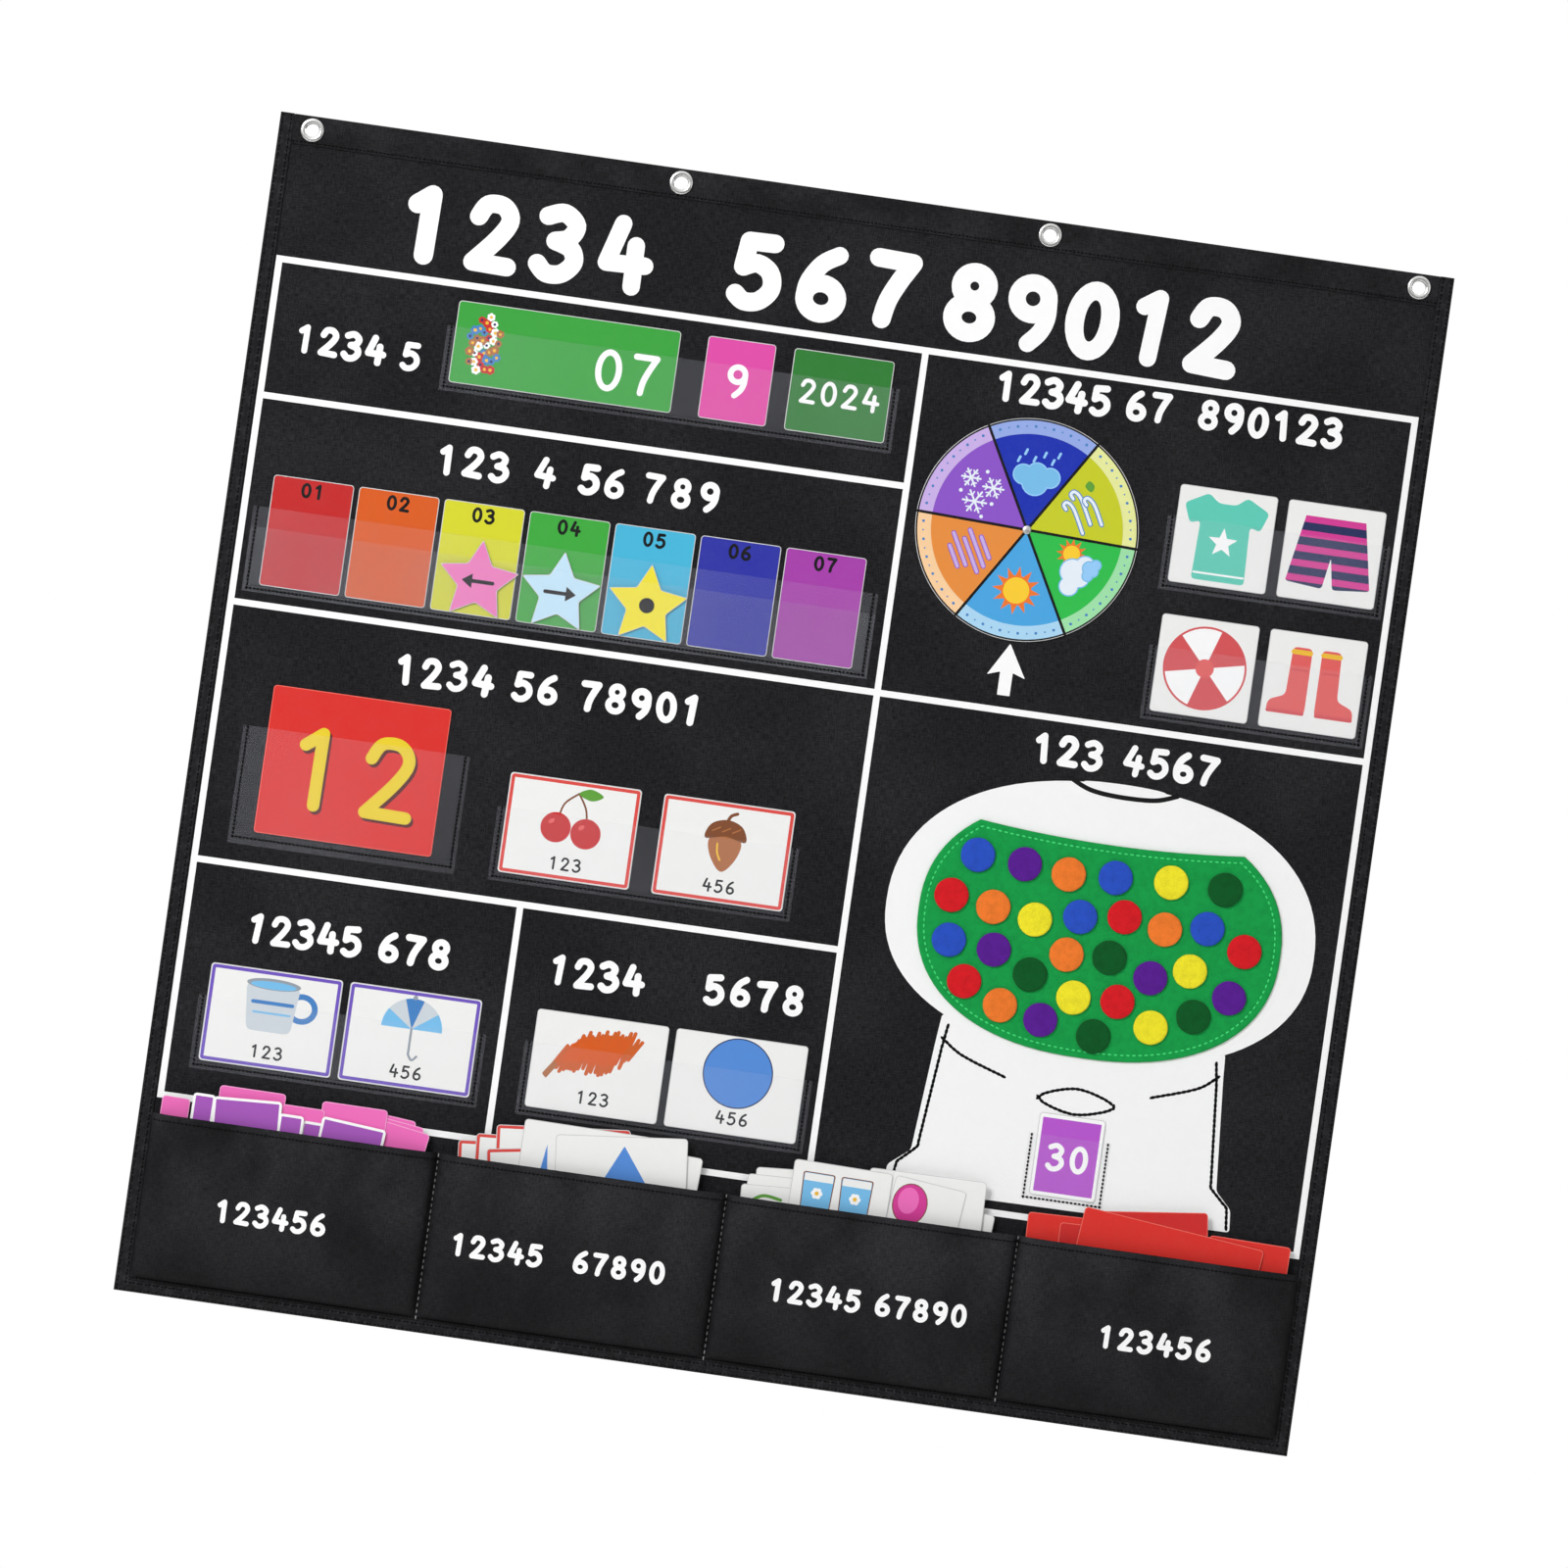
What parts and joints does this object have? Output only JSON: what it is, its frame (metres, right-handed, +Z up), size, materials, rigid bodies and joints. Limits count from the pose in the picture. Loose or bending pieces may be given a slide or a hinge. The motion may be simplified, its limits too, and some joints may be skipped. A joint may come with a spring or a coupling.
{
  "type": "calendar pocket chart",
  "caption": "Wall-hung fabric calendar chart with clear card pockets, a turning weather wheel, a felt counting board and storage pockets along the foot.",
  "frame": {"origin": "middle of the line through the four grommets, on the wall plane that the grommets' back flanges touch", "axes": "+Z up, +Y backwards into the wall, +X to the right as seen from the front"},
  "size_m": [0.8, 0.0171, 0.803],
  "materials": {
    "black_fabric": "woven polyester, matt",
    "storage_fabric": "woven polyester with a faint sheen",
    "clear_film": "clear soft vinyl",
    "grommet_steel": "nickel plated",
    "rivet_steel": "satin",
    "wheel_card": "laminated print in six colours",
    "green_felt": "felt",
    "counter_blue": "felt",
    "counter_purple": "felt",
    "counter_orange": "felt",
    "counter_yellow": "felt",
    "counter_green": "felt",
    "counter_red": "felt",
    "card_white": "laminated print",
    "card_red": "laminated print",
    "card_orange": "laminated print",
    "card_yellow": "laminated print",
    "card_green": "laminated print",
    "card_dark_green": "laminated print",
    "card_light_blue": "laminated print",
    "card_blue": "laminated print",
    "card_purple": "laminated print",
    "card_pink": "laminated print",
    "white_print": "screen print on fabric",
    "black_thread": "sewing thread",
    "green_thread": "sewing thread"
  },
  "bodies": {
    "root": {"backing_panel": "black_fabric", "header_band": "black_fabric", "edge_binding": "black_fabric", "storage_pocket_panel": "storage_fabric", "grommet_1": "grommet_steel", "grommet_2": "grommet_steel", "grommet_3": "grommet_steel", "grommet_4": "grommet_steel", "today_pocket": "clear_film", "weekday_pocket_back": "clear_film", "weekday_pocket_front": "clear_film", "letter_pocket": "clear_film", "picture_pocket": "clear_film", "rhyme_pocket": "clear_film", "colour_shape_pocket": "clear_film", "clothes_pocket_upper": "clear_film", "clothes_pocket_lower": "clear_film", "number_pocket": "clear_film", "wheel_rivet": "rivet_steel", "counting_felt": "green_felt"},
    "weather_wheel": {"weather_wheel": "wheel_card"},
    "month_card": {"month_card": "card_green"},
    "date_card": {"date_card": "card_pink"},
    "year_card": {"year_card": "card_dark_green"},
    "weekday_card_1": {"weekday_card_1": "card_red"},
    "weekday_card_2": {"weekday_card_2": "card_orange"},
    "weekday_card_3": {"weekday_card_3": "card_yellow"},
    "weekday_card_4": {"weekday_card_4": "card_green"},
    "weekday_card_5": {"weekday_card_5": "card_light_blue"},
    "weekday_card_6": {"weekday_card_6": "card_blue"},
    "weekday_card_7": {"weekday_card_7": "card_purple"},
    "star_pink": {"star_pink": "card_pink"},
    "star_blue": {"star_blue": "card_light_blue"},
    "star_yellow": {"star_yellow": "card_yellow"},
    "letter_card": {"letter_card": "card_red"},
    "picture_card_1": {"picture_card_1": "card_white"},
    "picture_card_2": {"picture_card_2": "card_white"},
    "rhyme_card_1": {"rhyme_card_1": "card_white"},
    "rhyme_card_2": {"rhyme_card_2": "card_white"},
    "colour_card": {"colour_card": "card_white"},
    "shape_card": {"shape_card": "card_white"},
    "clothes_card_1": {"clothes_card_1": "card_white"},
    "clothes_card_2": {"clothes_card_2": "card_white"},
    "clothes_card_3": {"clothes_card_3": "card_white"},
    "clothes_card_4": {"clothes_card_4": "card_white"},
    "number_card": {"number_card": "card_purple"},
    "stored_calendar_cards": {"stored_calendar_cards": "card_pink"},
    "stored_letter_cards": {"stored_letter_cards": "card_white"},
    "stored_colour_cards": {"stored_colour_cards": "card_white"},
    "stored_counting_cards": {"stored_counting_cards": "card_red"},
    "counter_01_blue": {"counter_01_blue": "counter_blue"},
    "counter_02_purple": {"counter_02_purple": "counter_purple"},
    "counter_03_orange": {"counter_03_orange": "counter_orange"},
    "counter_04_blue": {"counter_04_blue": "counter_blue"},
    "counter_05_yellow": {"counter_05_yellow": "counter_yellow"},
    "counter_06_green": {"counter_06_green": "counter_green"},
    "counter_07_red": {"counter_07_red": "counter_red"},
    "counter_08_orange": {"counter_08_orange": "counter_orange"},
    "counter_09_yellow": {"counter_09_yellow": "counter_yellow"},
    "counter_10_blue": {"counter_10_blue": "counter_blue"}
  },
  "joints": [
    {"name": "weather_wheel_spin", "type": "hinge", "parent": "root", "child": "weather_wheel", "pos_m": [0.1381, -0.0035, -0.199], "axis": [0, -1, 0], "continuous": true},
    {"name": "stored_calendar_lift", "type": "slide", "parent": "root", "child": "stored_calendar_cards", "axis": [0, 0, 1], "range_m": [0, 0.11]},
    {"name": "stored_letter_lift", "type": "slide", "parent": "root", "child": "stored_letter_cards", "axis": [0, 0, 1], "range_m": [0, 0.11]},
    {"name": "stored_colour_lift", "type": "slide", "parent": "root", "child": "stored_colour_cards", "axis": [0, 0, 1], "range_m": [0, 0.11]},
    {"name": "stored_counting_lift", "type": "slide", "parent": "root", "child": "stored_counting_cards", "axis": [0, 0, 1], "range_m": [0, 0.11]},
    {"name": "month_card_lift", "type": "slide", "parent": "root", "child": "month_card", "axis": [0, 0, 1], "range_m": [0, 0.038]},
    {"name": "date_card_lift", "type": "slide", "parent": "root", "child": "date_card", "axis": [0, 0, 1], "range_m": [0, 0.038]},
    {"name": "year_card_lift", "type": "slide", "parent": "root", "child": "year_card", "axis": [0, 0, 1], "range_m": [0, 0.038]},
    {"name": "weekday_card_1_lift", "type": "slide", "parent": "root", "child": "weekday_card_1", "axis": [0, 0, 1], "range_m": [0, 0.053]},
    {"name": "weekday_card_4_lift", "type": "slide", "parent": "root", "child": "weekday_card_4", "axis": [0, 0, 1], "range_m": [0, 0.053]},
    {"name": "weekday_card_7_lift", "type": "slide", "parent": "root", "child": "weekday_card_7", "axis": [0, 0, 1], "range_m": [0, 0.053]},
    {"name": "star_pink_lift", "type": "slide", "parent": "root", "child": "star_pink", "axis": [0, 0, 1], "range_m": [0, 0.039]},
    {"name": "star_blue_lift", "type": "slide", "parent": "root", "child": "star_blue", "axis": [0, 0, 1], "range_m": [0, 0.039]},
    {"name": "star_yellow_lift", "type": "slide", "parent": "root", "child": "star_yellow", "axis": [0, 0, 1], "range_m": [0, 0.039]},
    {"name": "letter_card_lift", "type": "slide", "parent": "root", "child": "letter_card", "axis": [0, 0, 1], "range_m": [0, 0.059]},
    {"name": "picture_card_1_lift", "type": "slide", "parent": "root", "child": "picture_card_1", "axis": [0, 0, 1], "range_m": [0, 0.044]},
    {"name": "rhyme_card_1_lift", "type": "slide", "parent": "root", "child": "rhyme_card_1", "axis": [0, 0, 1], "range_m": [0, 0.044]},
    {"name": "colour_card_lift", "type": "slide", "parent": "root", "child": "colour_card", "axis": [0, 0, 1], "range_m": [0, 0.044]},
    {"name": "shape_card_lift", "type": "slide", "parent": "root", "child": "shape_card", "axis": [0, 0, 1], "range_m": [0, 0.044]},
    {"name": "clothes_card_1_lift", "type": "slide", "parent": "root", "child": "clothes_card_1", "axis": [0, 0, 1], "range_m": [0, 0.044]},
    {"name": "clothes_card_3_lift", "type": "slide", "parent": "root", "child": "clothes_card_3", "axis": [0, 0, 1], "range_m": [0, 0.015]},
    {"name": "number_card_lift", "type": "slide", "parent": "root", "child": "number_card", "axis": [0, 0, 1], "range_m": [0, 0.039]},
    {"name": "counter_01_pull", "type": "slide", "parent": "root", "child": "counter_01_blue", "axis": [0, -1, 0], "range_m": [0, 0.02]},
    {"name": "counter_05_pull", "type": "slide", "parent": "root", "child": "counter_05_yellow", "axis": [0, -1, 0], "range_m": [0, 0.02]},
    {"name": "counter_07_pull", "type": "slide", "parent": "root", "child": "counter_07_red", "axis": [0, -1, 0], "range_m": [0, 0.02]},
    {"name": "counter_10_pull", "type": "slide", "parent": "root", "child": "counter_10_blue", "axis": [0, -1, 0], "range_m": [0, 0.02]},
    {"name": "weekday_card_2_lift", "type": "slide", "parent": "root", "child": "weekday_card_2", "axis": [0, 0, 1], "range_m": [0, 0.053]},
    {"name": "weekday_card_3_lift", "type": "slide", "parent": "root", "child": "weekday_card_3", "axis": [0, 0, 1], "range_m": [0, 0.053]},
    {"name": "weekday_card_5_lift", "type": "slide", "parent": "root", "child": "weekday_card_5", "axis": [0, 0, 1], "range_m": [0, 0.053]},
    {"name": "weekday_card_6_lift", "type": "slide", "parent": "root", "child": "weekday_card_6", "axis": [0, 0, 1], "range_m": [0, 0.053]},
    {"name": "picture_card_2_lift", "type": "slide", "parent": "root", "child": "picture_card_2", "axis": [0, 0, 1], "range_m": [0, 0.044]},
    {"name": "rhyme_card_2_lift", "type": "slide", "parent": "root", "child": "rhyme_card_2", "axis": [0, 0, 1], "range_m": [0, 0.044]},
    {"name": "clothes_card_2_lift", "type": "slide", "parent": "root", "child": "clothes_card_2", "axis": [0, 0, 1], "range_m": [0, 0.044]},
    {"name": "clothes_card_4_lift", "type": "slide", "parent": "root", "child": "clothes_card_4", "axis": [0, 0, 1], "range_m": [0, 0.015]},
    {"name": "counter_02_pull", "type": "slide", "parent": "root", "child": "counter_02_purple", "axis": [0, -1, 0], "range_m": [0, 0.02]},
    {"name": "counter_03_pull", "type": "slide", "parent": "root", "child": "counter_03_orange", "axis": [0, -1, 0], "range_m": [0, 0.02]},
    {"name": "counter_04_pull", "type": "slide", "parent": "root", "child": "counter_04_blue", "axis": [0, -1, 0], "range_m": [0, 0.02]},
    {"name": "counter_06_pull", "type": "slide", "parent": "root", "child": "counter_06_green", "axis": [0, -1, 0], "range_m": [0, 0.02]},
    {"name": "counter_08_pull", "type": "slide", "parent": "root", "child": "counter_08_orange", "axis": [0, -1, 0], "range_m": [0, 0.02]},
    {"name": "counter_09_pull", "type": "slide", "parent": "root", "child": "counter_09_yellow", "axis": [0, -1, 0], "range_m": [0, 0.02]}
  ]
}
